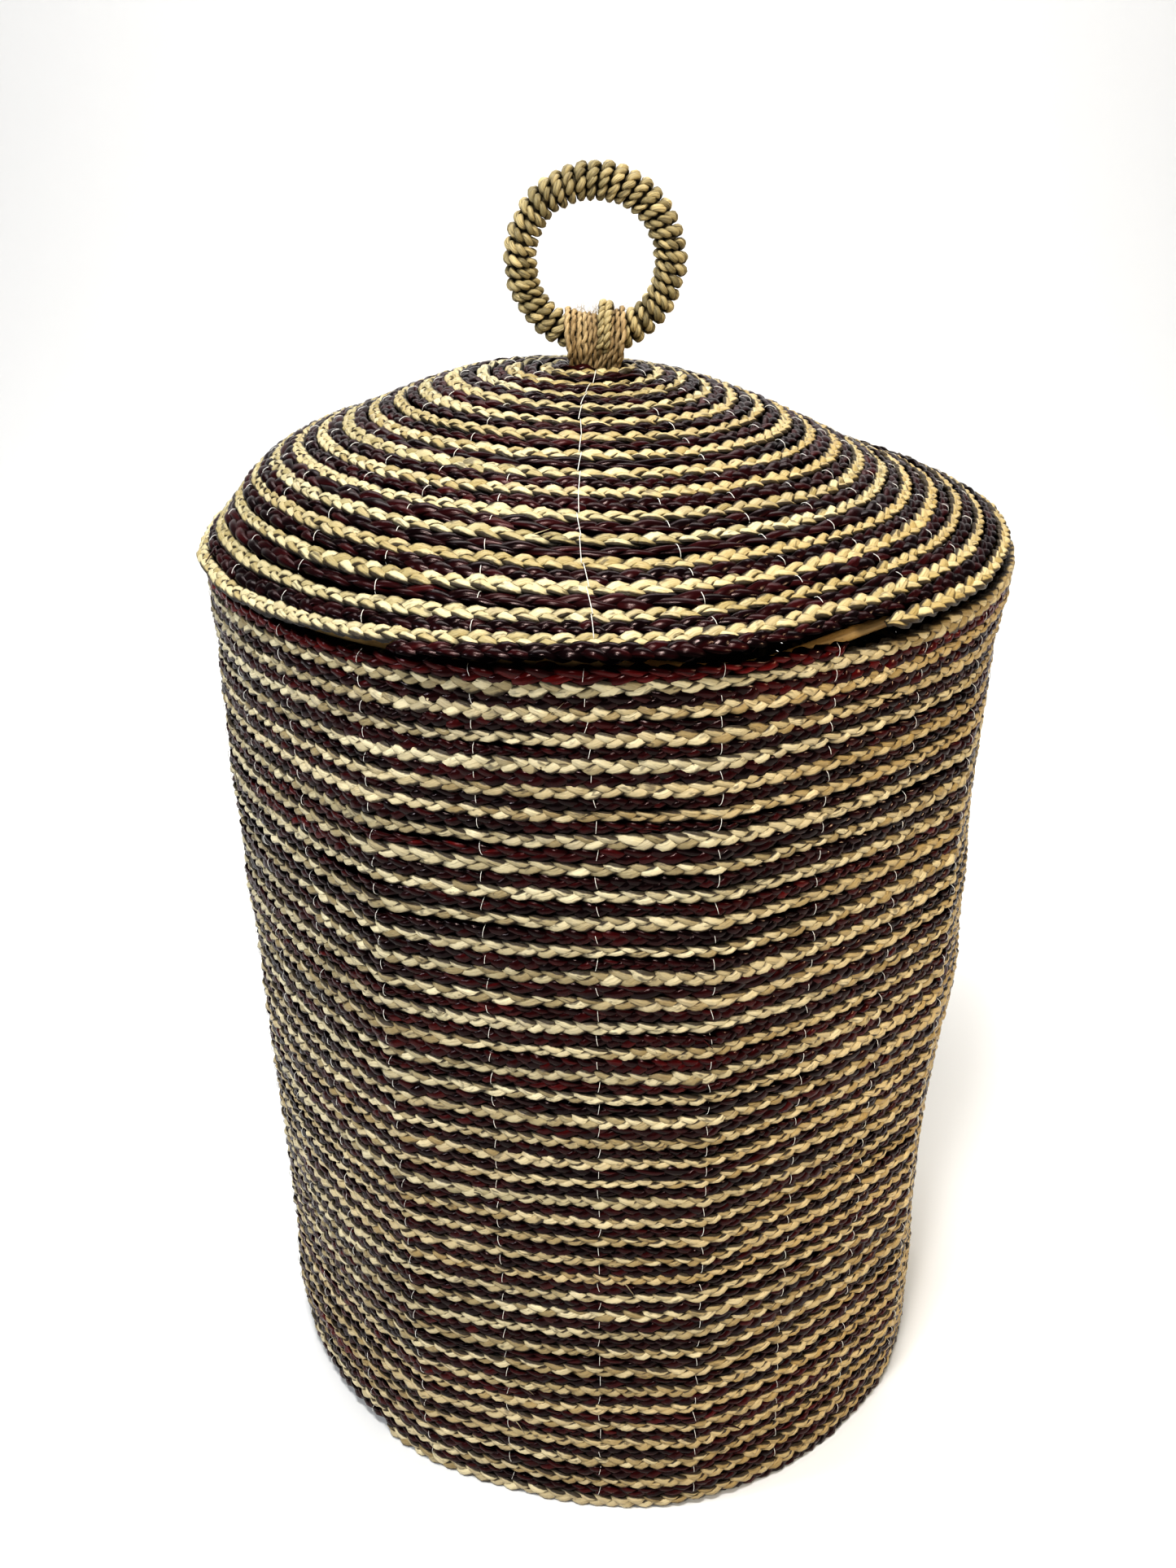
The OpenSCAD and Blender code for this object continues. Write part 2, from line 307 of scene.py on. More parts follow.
def resample(fn, x0, x1, step):
    """Points of a path fn(x) about `step` apart along it."""
    xs = np.linspace(x0, x1, max(64, int(abs(x1 - x0) * 720)))
    p = fn(xs)[0]
    d = np.concatenate([[0], np.cumsum(np.linalg.norm(np.diff(p, axis=0), axis=1))])
    k = max(8, int(d[-1] / step))
    ss = np.linspace(0, d[-1], k + 1)
    return np.interp(ss, d, xs), ss


def plait(out, p, n, s, kind, seed, taper=(0, 0), sides=8, keep=(0, None), warm=0.0):
    """Three flat strands plaited along the path p; kind holds the plait's sizes. keep: the samples to make, so that a long rope can be made in several pieces."""
    lo, hi = keep
    sl = slice(lo, hi)
    pitch = kind["pitch"] * np.exp(kind["pitch_var"] * noise(s, seed + 1, 160) + kind.get("pitch_big", 0) * np.maximum(0, noise(s, seed + 2, 420)))
    ph = TAU * np.concatenate([[0], np.cumsum(np.diff(s) / (0.5 * (pitch[1:] + pitch[:-1])))])
    ph = ph + 0.35 * noise(s, seed + 5, 24)
    fat = 1 + kind["fat_var"] * noise(s, seed + 3, 85) + 0.7 * kind["fat_var"] * noise(s, seed + 4, 27)
    end = np.ones_like(s)
    if taper[0]:
        end = np.minimum(end, 0.35 + 0.65 * smooth(s - s[0], 0, taper[0]))
    if taper[1]:
        end = np.minimum(end, 0.35 + 0.65 * smooth(s[-1] - s, 0, taper[1]))
    t, a, o = frames(p, n)
    p = p + a * (kind["sway"] * noise(s, seed + 6, 46) + 0.6 * kind["sway"] * noise(s, seed + 7, 15))[:, None] + o * (0.5 * kind["sway"] * noise(s, seed + 8, 33))[:, None]
    reach = kind["B"] + kind["t"]
    for i in range(3):
        f = ph + TAU * i / 3 + 0.3 * noise(s, seed + 10 + i, 30)
        over = -np.sin(2 * f)                        # 1 where the strand lies on top, -1 where it dives under
        aa = kind["A"] * np.sin(f) * fat * end * (1 + 0.16 * noise(s, seed + 20 + i, 19))
        bb = kind["B"] * over * end * (1 + 0.3 * noise(s, seed + 30 + i, 18))
        c = p + aa[:, None] * a + bb[:, None] * o
        tt = unit(np.gradient(c, axis=0))
        nn = unit(o - (o * tt).sum(1, keepdims=True) * tt)
        # each strand rolls a little as it passes over and under, so its edges catch the light
        roll = kind["roll"] * np.cos(f) + 0.3 * noise(s, seed + 40 + i, 16)
        ww = np.cross(tt, nn)
        cr, sr = np.cos(roll)[:, None], np.sin(roll)[:, None]
        ww, nn = ww * cr + nn * sr, nn * cr - ww * sr
        w = kind["w"] * fat * end * (1 + 0.20 * noise(s, seed + 50 + i, 21)) * (1 + kind["puff"] * over - 0.27 * np.sin(f) ** 2 + kind["under"] * np.maximum(0, -over))
        th = kind["t"] * fat * end * (1 + 0.22 * noise(s, seed + 60 + i, 17)) * (1 + 1.5 * kind["puff"] * over)
        tone = steps(s, seed + 70 + i, kind["leaf"])
        tone2 = 0.5 + 0.5 * noise(s, seed + 80 + i, 55)
        out.tube(c[sl], ww[sl], nn[sl], w[sl], th[sl], sides,
                 {"tone": tone[sl], "tone2": tone2[sl], "lift": (0.5 + 0.5 * over)[sl], "warm": np.broadcast_to(warm, s.shape)[sl], "hue": (0.5 + 0.5 * noise(s, seed + 90, 300))[sl]},
                 u=(s + 1000.0 * i)[sl], fold=kind["fold"], seed=seed + 17 * i, deep=(p[sl], o[sl], reach))


LIGHT = dict(pitch=33, pitch_var=0.17, fat_var=0.15, under=0.5, A=2.15, B=1.3, w=3.0, t=1.6, roll=0.22, puff=0.05, sway=0.5, fold=0.08, leaf=95, frays=0.9)
DARK = dict(pitch=28, under=0.62, pitch_var=0.25, pitch_big=0.35, fat_var=0.2, A=2.1, B=1.15, w=3.05, t=1.5, roll=0.25, puff=0.05, sway=0.45, fold=0.06, leaf=150, frays=0.35)
LID_LIGHT = dict(pitch=33, under=0.16, pitch_var=0.17, fat_var=0.13, A=2.3, B=1.3, w=3.15, t=1.65, roll=0.22, puff=0.05, sway=0.55, fold=0.085, leaf=120, frays=1.2)
LID_DARK = dict(pitch=40, under=0.18, pitch_var=0.25, pitch_big=0.6, fat_var=0.2, A=2.2, B=1.1, w=3.3, t=1.6, roll=0.2, puff=0.05, sway=0.5, fold=0.055, leaf=170, frays=0.5)


def fray(out, p, t, a, o, seed, per_metre, s, keep):
    """Loose ends of leaf that stick out of a rope here and there."""
    lo, hi = keep
    g = np.random.RandomState(seed)
    n = int(per_metre * (s[hi - 1] - s[lo]) / 1000.0 + g.uniform())
    for _ in range(n):
        q = g.randint(lo + 3, hi - 3)
        ln, wd = g.uniform(5, 13), g.uniform(0.5, 1.3)
        ang = g.choice([-1, 1]) * g.uniform(0.1, 0.9)
        d0 = t[q] * math.cos(ang) * g.choice([-1, 1]) + a[q] * math.sin(ang) + o[q] * g.uniform(0.05, 0.35)
        d1 = d0 + o[q] * g.uniform(-0.5, 0.25) + np.array([0, 0, -1.0]) * g.uniform(0, 0.7)
        x = np.linspace(0, 1, 7)[:, None]
        c = p[q] + a[q] * g.uniform(-2.4, 2.4) + o[q] * 2.2 + ln * (x * d0 / np.linalg.norm(d0) + 0.5 * x * x * (d1 - d0))
        tt = unit(np.gradient(c, axis=0))
        ww = unit(np.cross(np.tile(o[q] + 0.4 * a[q] * g.uniform(-1, 1), (7, 1)), tt))
        nn = np.cross(tt, ww)
        k = (1 - 0.85 * x[:, 0] ** 1.6)
        out.tube(c, ww, nn, wd * k, 0.16, 4, {"tone": g.uniform(0.4, 1.0), "tone2": g.uniform(), "lift": 1.0, "warm": 0.2, "hue": 0.5}, u=np.linspace(0, ln, 7) + 50 * g.uniform())


# ---------------------------------------------------------------- node trees
class Tree:
    """A small helper for writing node trees."""

    def __init__(self, name):
        self.mat = bpy.data.materials.new(name)
        self.mat.use_nodes = True
        self.nt = self.mat.node_tree
        self.nt.nodes.clear()
        self.out = self.nt.nodes.new("ShaderNodeOutputMaterial")
        self.bsdf = self.nt.nodes.new("ShaderNodeBsdfPrincipled")
        self.nt.links.new(self.bsdf.outputs[0], self.out.inputs["Surface"])

    def put(self, socket, value):
        if isinstance(value, bpy.types.NodeSocket):
            self.nt.links.new(value, socket)
        elif value is not None:
            if hasattr(socket.default_value, "__len__") and not hasattr(value, "__len__"):
                value = [value] * len(socket.default_value)
            if hasattr(value, "__len__") and len(value) == 3 and len(socket.default_value) == 4:
                value = (*value, 1.0)
            socket.default_value = value
        return socket

    def math(self, op, a, b=None, c=None, clamp=False):
        n = self.nt.nodes.new("ShaderNodeMath")
        n.operation, n.use_clamp = op, clamp
        self.put(n.inputs[0], a)
        if b is not None:
            self.put(n.inputs[1], b)
        if c is not None:
            self.put(n.inputs[2], c)
        return n.outputs[0]

    def attr(self, name):
        n = self.nt.nodes.new("ShaderNodeAttribute")
        n.attribute_name = name
        return n.outputs["Fac"]

    def uv(self, name="rope"):
        n = self.nt.nodes.new("ShaderNodeUVMap")
        n.uv_map = name
        s = self.nt.nodes.new("ShaderNodeSeparateXYZ")
        self.nt.links.new(n.outputs[0], s.inputs[0])
        return s.outputs[0], s.outputs[1]

    def vec(self, x, y, z=0.0):
        n = self.nt.nodes.new("ShaderNodeCombineXYZ")
        for s, v in zip(n.inputs, (x, y, z)):
            self.put(s, v)
        return n.outputs[0]

    def obj(self):
        n = self.nt.nodes.new("ShaderNodeTexCoord")
        return n.outputs["Object"]

    def noise(self, vec, scale=1.0, detail=3.0, rough=0.55, distort=0.0):
        n = self.nt.nodes.new("ShaderNodeTexNoise")
        self.nt.links.new(vec, n.inputs["Vector"])
        n.inputs["Scale"].default_value = scale
        n.inputs["Detail"].default_value = detail
        n.inputs["Roughness"].default_value = rough
        n.inputs["Distortion"].default_value = distort
        return n.outputs["Fac"]

    def ramp(self, fac, *stops, colour=False):
        n = self.nt.nodes.new("ShaderNodeValToRGB")
        self.put(n.inputs[0], fac)
        e = n.color_ramp.elements
        while len(e) < len(stops):
            e.new(0.5)
        for i, (pos, c) in enumerate(stops):
            e[i].position = pos
            e[i].color = (*c, 1.0) if hasattr(c, "__len__") else (c, c, c, 1.0)
        return n.outputs[0]

    def span(self, v, a, b, c=0.0, d=1.0):
        n = self.nt.nodes.new("ShaderNodeMapRange")
        n.clamp = True
        self.put(n.inputs[0], v)
        for i, x in enumerate((a, b, c, d)):
            n.inputs[1 + i].default_value = x
        return n.outputs[0]

    def mix(self, fac, a, b, mode="MIX"):
        n = self.nt.nodes.new("ShaderNodeMix")
        n.data_type, n.blend_type = "RGBA", mode
        self.put(n.inputs[0], fac)
        self.put(n.inputs[6], a)
        self.put(n.inputs[7], b)
        return n.outputs[2]

    def bump(self, height, strength=0.5, distance=0.0005, normal=None):
        n = self.nt.nodes.new("ShaderNodeBump")
        n.inputs["Strength"].default_value = strength
        n.inputs["Distance"].default_value = distance
        self.put(n.inputs["Height"], height)
        if normal is not None:
            self.put(n.inputs["Normal"], normal)
        return n.outputs[0]

    def set(self, **kw):
        for k, v in kw.items():
            self.put(self.bsdf.inputs[k.replace("_", " ")], v)
        return self.mat


def lin(r, g, b):
    """Linear colour from 0-255 screen values."""
    f = lambda c: (c / 12.92) if c <= 0.04045 else ((c + 0.055) / 1.055) ** 2.4
    return tuple(f(x / 255) for x in (r, g, b))


def straw(name, pale, mid, deep, edge, stain_and_warm_light, gloss):
    """Flattened dry leaf strands: long fibres, folds, paler and darker leaves, painted shade in the creases along the
    edges and low between the strands.
    """
    t = Tree(name)
    u, v = t.uv()
    tone, tone2 = t.attr("tone"), t.attr("tone2")
    fib = t.noise(t.vec(t.math("MULTIPLY", u, 110.0), t.math("MULTIPLY", v, 26.0), tone2), 1.0, 3.0, 0.6)
    fine = t.noise(t.vec(t.math("MULTIPLY", u, 420.0), t.math("MULTIPLY", v, 60.0)), 1.0, 2.0, 0.6)
    fold = t.noise(t.vec(t.math("MULTIPLY", u, 150.0), t.math("MULTIPLY", v, 5.0), tone), 1.0, 2.0, 0.5, 0.8)
    grey = t.noise(t.vec(t.math("MULTIPLY", u, 9.0), t.math("MULTIPLY", v, 1.0), tone), 1.0, 2.0, 0.5)
    base = t.mix(t.span(tone, 0.05, 0.9), mid, pale)
    base = t.mix(t.math("MULTIPLY", t.span(grey, 0.55, 0.75), 0.5), base, t.mix(0.5, mid, lin(150, 148, 118)))
    base = t.mix(t.math("MULTIPLY", t.span(tone, 0.86, 0.96), 0.4), base, deep)
    # painted warm light and stain: the warm colour mixed in where the warm mask is high, towards the right, lower down
    # and in random patches
    base = t.mix(t.math("MULTIPLY", t.attr("warm"), 0.55), base, stain_and_warm_light)
    base = t.mix(t.math("MULTIPLY", t.span(fib, 0.52, 0.78), 0.55), base, deep)
    base = t.mix(t.math("MULTIPLY", t.span(fine, 0.45, 0.25), 0.3), base, pale)
    base = t.mix(t.math("MULTIPLY", t.span(fold, 0.60, 0.70), 0.6), base, edge)
    # painted shade in the creases where strand meets strand: near the section's two edges
    vv = t.math("ABSOLUTE", t.math("SUBTRACT", t.math("FRACT", t.math("MULTIPLY", v, 2.0)), 0.5))
    rag = t.noise(t.vec(t.math("MULTIPLY", u, 260.0), t.math("MULTIPLY", v, 3.0)), 1.0, 2.0)
    crease_shade = t.span(t.math("ADD", vv, t.math("MULTIPLY", t.math("SUBTRACT", rag, 0.5), 0.25)), 0.18, 0.29)
    base = t.mix(t.math("MULTIPLY", crease_shade, 0.92), base, edge)
    # painted shade, near black, low between the strands and between the rows
    low = t.span(t.attr("deep"), 0.56, -0.02)
    base = t.mix(t.math("MULTIPLY", low, 0.95), base, lin(22, 12, 7))
    h = t.math("ADD", t.math("MULTIPLY", fib, 0.7), t.math("ADD", t.math("MULTIPLY", fine, 0.25), t.math("MULTIPLY", fold, 1.0)))
    h = t.math("SUBTRACT", h, t.math("MULTIPLY", crease_shade, 0.6))
    rough = t.span(fib, 0.3, 0.7, gloss - 0.08, gloss + 0.14)
    return t.set(Base_Color=base, Roughness=rough, Normal=t.bump(h, 0.9, 0.0009), Specular_IOR_Level=0.5)


def dyed(name, black, maroon, red, gloss, shine):
    """Dyed and varnished strands: near black with dark red patches, fine ridges along the leaf, sharp highlights."""
    t = Tree(name)
    u, v = t.uv()
    tone, tone2 = t.attr("tone"), t.attr("tone2")
    fib = t.noise(t.vec(t.math("MULTIPLY", u, 60.0), t.math("MULTIPLY", v, 34.0), tone2), 1.0, 3.0, 0.6)
    fine = t.noise(t.vec(t.math("MULTIPLY", u, 300.0), t.math("MULTIPLY", v, 60.0)), 1.0, 2.0, 0.6)
    patch = t.noise(t.vec(t.math("MULTIPLY", u, 16.0), t.math("MULTIPLY", v, 2.0), tone), 1.0, 3.0, 0.55, 0.4)
    base = t.mix(t.span(patch, 0.42, 0.66), black, maroon)
    base = t.mix(t.math("MULTIPLY", t.span(patch, 0.60, 0.74), t.math("ADD", 0.12, t.math("MULTIPLY", t.attr("warm"), 0.55))), base, red)
    base = t.mix(t.math("MULTIPLY", t.attr("warm"), 0.6), base, t.mix(t.span(patch, 0.40, 0.66), maroon, red))
    base = t.mix(t.math("MULTIPLY", t.span(fib, 0.5, 0.75), 0.6), base, black)
    # painted shade: near black in the creases at the section's edges and low between strands and rows, with less
    # specular there
    vv = t.math("ABSOLUTE", t.math("SUBTRACT", t.math("FRACT", t.math("MULTIPLY", v, 2.0)), 0.5))
    crease_shade = t.span(vv, 0.24, 0.40)
    low = t.span(t.attr("deep"), 0.66, 0.12)
    base = t.mix(t.math("MAXIMUM", t.math("MULTIPLY", crease_shade, 0.85), low), base, (0.0018, 0.0006, 0.0008))
    h = t.math("ADD", t.math("MULTIPLY", fib, 1.0), t.math("ADD", t.math("MULTIPLY", fine, 0.15), t.math("MULTIPLY", patch, 0.8)))
    rough = t.span(patch, 0.35, 0.7, gloss, gloss + 0.12)
    spec = t.math("MULTIPLY", t.math("SUBTRACT", 1.0, t.math("MAXIMUM", low, t.math("MULTIPLY", crease_shade, 0.8))), shine)
    return t.set(Base_Color=base, Roughness=rough, Normal=t.bump(h, 0.22, 0.0004), Specular_IOR_Level=spec, Specular_Tint=(1.0, 0.8, 0.76))


def cane(name="cane", lo=lin(188, 150, 96), hi=lin(214, 182, 126), dark=lin(118, 82, 44)):
    """Peeled cane: tan, with long fibres, paler and darker bands and dark specks."""
    t = Tree(name)
    c = t.obj()
    s = t.nt.nodes.new("ShaderNodeSeparateXYZ")
    t.nt.links.new(c, s.inputs[0])
    ang = t.math("ARCTAN2", s.outputs[0], s.outputs[1])
    rad = t.math("SQRT", t.math("ADD", t.math("POWER", s.outputs[0], 2.0), t.math("POWER", s.outputs[1], 2.0)))
    long_ = t.noise(t.vec(t.math("MULTIPLY", ang, 5.0), t.math("MULTIPLY", rad, 900.0), t.math("MULTIPLY", s.outputs[2], 240.0)), 1.0, 4.0, 0.6)
    big = t.noise(c, 18.0, 3.0, 0.55)
    speck = t.noise(c, 900.0, 2.0, 0.6)
    base = t.mix(t.span(big, 0.35, 0.65), lo, hi)
    base = t.mix(t.math("MULTIPLY", t.span(long_, 0.5, 0.72), 0.6), base, dark)
    base = t.mix(t.math("MULTIPLY", t.span(speck, 0.62, 0.75), 0.4), base, dark)
    h = t.math("ADD", long_, t.math("MULTIPLY", speck, 0.3))
    return t.set(Base_Color=base, Roughness=t.span(big, 0.3, 0.7, 0.42, 0.6), Normal=t.bump(h, 0.5, 0.0004))


def fibre(name, pale, mid, deep, gloss=0.6, hair=1.0, step=1.0):
    """Twisted plant fibre for the ring's winding and the lashing."""
    t = Tree(name)
    u, v = t.uv()
    hair1 = t.noise(t.vec(t.math("MULTIPLY", u, 110.0 * step), t.math("MULTIPLY", v, 14.0), t.attr("tone")), 1.0, 4.0, 0.66)
    hair2 = t.noise(t.vec(t.math("MULTIPLY", u, 420.0 * step), t.math("MULTIPLY", v, 60.0)), 1.0, 2.0, 0.6)
    blot = t.noise(t.vec(t.math("MULTIPLY", u, 30.0 * step), t.math("MULTIPLY", v, 2.0), t.attr("tone2")), 1.0, 2.0, 0.5)
    base = t.mix(t.attr("tone"), mid, pale)
    base = t.mix(t.math("MULTIPLY", t.span(blot, 0.5, 0.7), 0.55), base, deep)
    base = t.mix(t.math("MULTIPLY", t.span(hair1, 0.50, 0.66), 0.7 * hair), base, deep)
    base = t.mix(t.math("MULTIPLY", t.span(hair2, 0.45, 0.3), 0.3), base, pale)
    # painted shade: dark brown low between the plies
    base = t.mix(t.math("MULTIPLY", t.span(t.attr("deep"), 0.62, -0.1), 0.95), base, lin(26, 19, 10))
    h = t.math("ADD", hair1, t.math("MULTIPLY", hair2, 0.4))
    return t.set(Base_Color=base, Roughness=t.span(hair1, 0.3, 0.7, gloss - 0.08, gloss + 0.12), Normal=t.bump(h, 0.9, 0.0008))


def nylon(name="nylon"):
    """Clear nylon sewing thread, a little dusty."""
    t = Tree(name)
    u, v = t.uv()
    n = t.noise(t.vec(t.math("MULTIPLY", u, 700.0), t.math("MULTIPLY", v, 4.0)), 1.0, 3.0, 0.6)
    base = t.mix(t.span(n, 0.35, 0.65), lin(226, 224, 214), lin(250, 249, 244))
    return t.set(Base_Color=base, Roughness=t.span(n, 0.3, 0.7, 0.22, 0.4), Normal=t.bump(n, 0.3, 0.0001), Transmission_Weight=0.12)


# straw colours: pale, mid, deep, then a dark brown used for fold streaks and for painted crease shade, then the warm
# colour for painted warm light and stain, then gloss
M_LIGHT = straw("straw_wall", lin(232, 221, 186), lin(150, 135, 100), lin(92, 70, 42), lin(34, 20, 10), lin(200, 158, 80), 0.36)
M_LIDLIGHT = straw("straw_lid", lin(232, 221, 182), lin(176, 161, 116), lin(112, 88, 52), lin(36, 22, 10), lin(206, 168, 90), 0.36)
M_DARK = dyed("dyed_wall", lin(14, 3, 5), lin(58, 9, 12), lin(126, 24, 22), 0.13, 0.3)
M_LIDDARK = dyed("dyed_lid", lin(20, 6, 9), lin(60, 14, 17), lin(106, 27, 24), 0.17, 0.26)
M_CANE = cane()
M_CORE = cane("core_cane", lin(78, 66, 38), lin(104, 90, 54), lin(36, 28, 14))
M_WRAP = fibre("seagrass_cord", lin(222, 202, 152), lin(150, 137, 100), lin(62, 52, 32), 0.40, 1.1)
M_JUTE = fibre("jute_twine", lin(228, 202, 156), lin(178, 150, 108), lin(104, 80, 48), 0.6, 1.0, 1.2)
M_NYLON = nylon()


# ---------------------------------------------------------------- the basket's two ropes
LIGHT_TOP = 37.556
DARK_TOP = 37 + 30.5 / 360


def base_light_path(x):
    """The pale rope over the base, x in turns out from the middle."""
    r = 5.5 + 14.9 * x
    th = TAU * x
    z = np.full_like(r, Z0) + 0.25 * noise(np.degrees(th), 61, 90)
    return np.stack([r * np.sin(th), -r * np.cos(th), z], 1), np.stack([0 * r, 0 * r, -1 + 0 * r], 1)


def base_dark_path(x):
    r = 12.95 + 14.9 * x
    th = TAU * x
    z = np.full_like(r, 4.4)
    return np.stack([r * np.sin(th), -r * np.cos(th), z], 1), np.stack([0 * r, 0 * r, -1 + 0 * r], 1)


def rope(path, x0, x1, step, kind, seed, pieces, name, material, body, replaces, sides, taper=(0, 0), warm=None):
    xs, ss = resample(path, x0, x1, step)
    p, n = path(xs)
    w = 0.0 if warm is None else warm(xs, p)
    k = len(xs)
    cuts = np.linspace(0, k - 1, pieces + 1).astype(int)
    made = []
    for i in range(pieces):
        b = Bundle(name if pieces == 1 else "%s_%d" % (name, i + 1))
        hi = cuts[i + 1] + (1 if i < pieces - 1 else 1)
        plait(b, p, n, ss, kind, seed, taper, sides, (cuts[i], hi), w)
        t, a, o = frames(p, n)
        fray(b, p, t, a, o, seed + 9 + i, kind["frays"], ss, (cuts[i], hi))
        made.append(b.build(material, body, replaces))
    return made, (xs, p, n, ss)


def light_path_full(x):
    th = TAU * x
    z = wall_height(x, 0.0)
    m = np.maximum(z, 0.0)
    return basket_at(th, m, LIGHT_R)


def dark_path_full(x):
    th = TAU * x
    m = np.maximum(wall_height(x, 7.47), -7.2)
    p, n = basket_at(th, m, 4.7)
    up = smooth(x, DARK_TOP - 0.006, DARK_TOP)
    return p + up[:, None] * np.array([[0.0, 0.0, 2.5]]), n


def wall_height(tau, first):
    """Height of a rope on the wall after tau turns: the front rows are pulled about a little from an even winding."""
    z = first + ROW * tau
    k = (1 + np.cos(TAU * tau)) / 2
    pull = np.interp(z, [0, 25, 60, 90, 130, 170, 200, 245, 290, 345, 395, 430, 470, 500, 535, 557, 566], [0.3, 4, 2.5, 1, 2, 0.5, -2, -5, -7.5, -6, -3, 0.5, 2.5, 0, -3.5, -6, -8.5])
    right = ((1 + np.cos(TAU * tau - math.radians(78))) / 2) ** 2
    g = angle_gap(TAU * tau, 0)
    foot = smooth(g, 2, 28) * (1 - smooth(g, 95, 170)) * (1 - smooth(z, 0, 75))     # the rows rise quickly here at first
    return z + k * pull + 5.0 * right * smooth(z, 400, 560) + 5.2 * foot


def reddish(x, p):
    """The top dark row is the reddest, and patches of the rest."""
    z = p[:, 2]
    return np.clip(1.0 * smooth(z, 546, 556) + 0.35 * smooth(noise(x * 5.0, 77, 1.3), 0.2, 0.8), 0, 1)


def warm_light_and_patches(x, p):
    """Painted warm light and stain: the straw is yellower towards the right, where warm light falls, yellower lower
    down, and in random patches.
    """
    return np.clip(0.75 * smooth(p[:, 0], -60, 230) + 0.3 * smooth(-p[:, 2], -520, -40) + 0.25 * noise(x * 3.1, 78, 1.1), 0, 1)


# painted warm light and stain on the lid: yellower towards the right, where warm light falls, and in random patches
def warm_light_and_patches_lid(x, p):
    return np.clip(0.1 + 0.5 * smooth(p[:, 0], -60, 220) + 0.25 * noise(x * 3.1, 79, 1.1), 0, 1)


wl, WL = rope(light_path_full, -0.12, LIGHT_TOP, 2.5, LIGHT, 100, 6, "wall_straw", M_LIGHT, "basket", ("wall_rope_light",), 8, (6, 10), warm_light_and_patches)
wd, WD = rope(dark_path_full, -0.975, DARK_TOP, 2.9, DARK, 200, 4, "wall_dyed", M_DARK, "basket", ("wall_rope_dark",), 7, (8, 9), reddish)
bl, BL = rope(base_light_path, 0.0, 13.15, 4.0, LIGHT, 300, 1, "base_straw", M_LIGHT, "basket", ("base_rope_light",), 7, (8, 8))
bd, BD = rope(base_dark_path, 0.0, 12.95, 4.4, dict(DARK, A=1.6, w=1.95), 400, 1, "base_dyed", M_DARK, "basket", ("base_rope_dark",), 6, (8, 8))


# ---------------------------------------------------------------- the lid's two ropes
def lid_light_path(x):
    """x in turns wound outwards, the other way round from the wall."""
    th = -TAU * x
    s = 257.7 + LID_ROW * x
    p, n = dome_at(th, np.maximum(s, 8), LIGHT_R)
    return p, n


def lid_dark_path(x):
    th = -TAU * x
    s = 266.0 + LID_ROW * x
    return dome_at(th, np.maximum(s, 8), 4.3)


ll, LL = rope(lid_light_path, -14.35, 324 / 360, 2.4, LID_LIGHT, 500, 2, "lid_straw", M_LIDLIGHT, "lid", ("lid_rope_light",), 8, (6, 8), warm_light_and_patches_lid)
ld, LD = rope(lid_dark_path, -15.0, 25.9 / 360, 2.5, LID_DARK, 600, 2, "lid_dyed", M_LIDDARK, "lid", ("lid_rope_dark",), 8, (6, 8))


# ---------------------------------------------------------------- the canes drawn with their wander
def hoop(name, R, z, r, seed, body, node, dip):
    k = 360
    th = TAU * np.arange(k + 1) / k
    rr = R + 0.35 * noise(np.degrees(th), seed, 35)
    g = angle_gap(th, 0)
    zz = z + 0.3 * noise(np.degrees(th), seed + 1, 40) - dip * (1 + np.cos(th)) / 2 - 5.6 * bell(g, 17, 15) + 7.2 * ((1 + np.cos(th - math.radians(70))) / 2) ** 2 * (1 - bell(g, 15, 12))
    c = np.stack([rr * np.sin(th), -rr * np.cos(th), zz], 1)
    c[-1] = c[0]
    tang = unit(np.stack([np.cos(th), np.sin(th), 0 * th], 1))
    out = np.stack([np.sin(th), -np.cos(th), 0 * th], 1)
    up = np.tile([[0, 0, 1.0]], (k + 1, 1))
    joint = sum(bell(angle_gap(th, a), 0, 1.1) for a in (-150, -78, -12, 61, 133))
    rad = r * (1 + 0.03 * noise(np.degrees(th), seed + 2, 14) + 0.05 * joint)
    b = Bundle(name)
    b.tube(c, out, up, rad, rad, 14, {"tone": 0.5 + 0.5 * noise(np.degrees(th), seed + 3, 50), "tone2": 0.5, "lift": 1.0, "warm": 0.0, "hue": 0.5})
    return b.build(M_CANE, body, (node,))


hoop("rim_cane", 224.75, 565.5, 3.7, 31, "basket", "rim_hoop", 2.6)


def pole(name, c, n, r, seed, body, node):
    """A cane along c, with its leaf joints and slight changes in thickness along it."""
    d = np.concatenate([[0], np.cumsum(np.linalg.norm(np.diff(c, axis=0), axis=1))])
    t, a, o = frames(c, n)
    g = np.random.RandomState(seed)
    rad = r * (1 + 0.03 * noise(d, seed, 30))
    for at in np.arange(g.uniform(20, 90), d[-1], g.uniform(95, 140)):
        rad = rad * (1 + 0.06 * bell(d, at, 2.2))
    b = Bundle(name)
    b.tube(c, a, o, rad, rad, 12, {"tone": 0.5 + 0.5 * noise(d, seed + 3, 50), "tone2": 0.5, "lift": 1.0, "warm": 0.0, "hue": 0.5})
    return b.build(M_CANE, body, (node,))


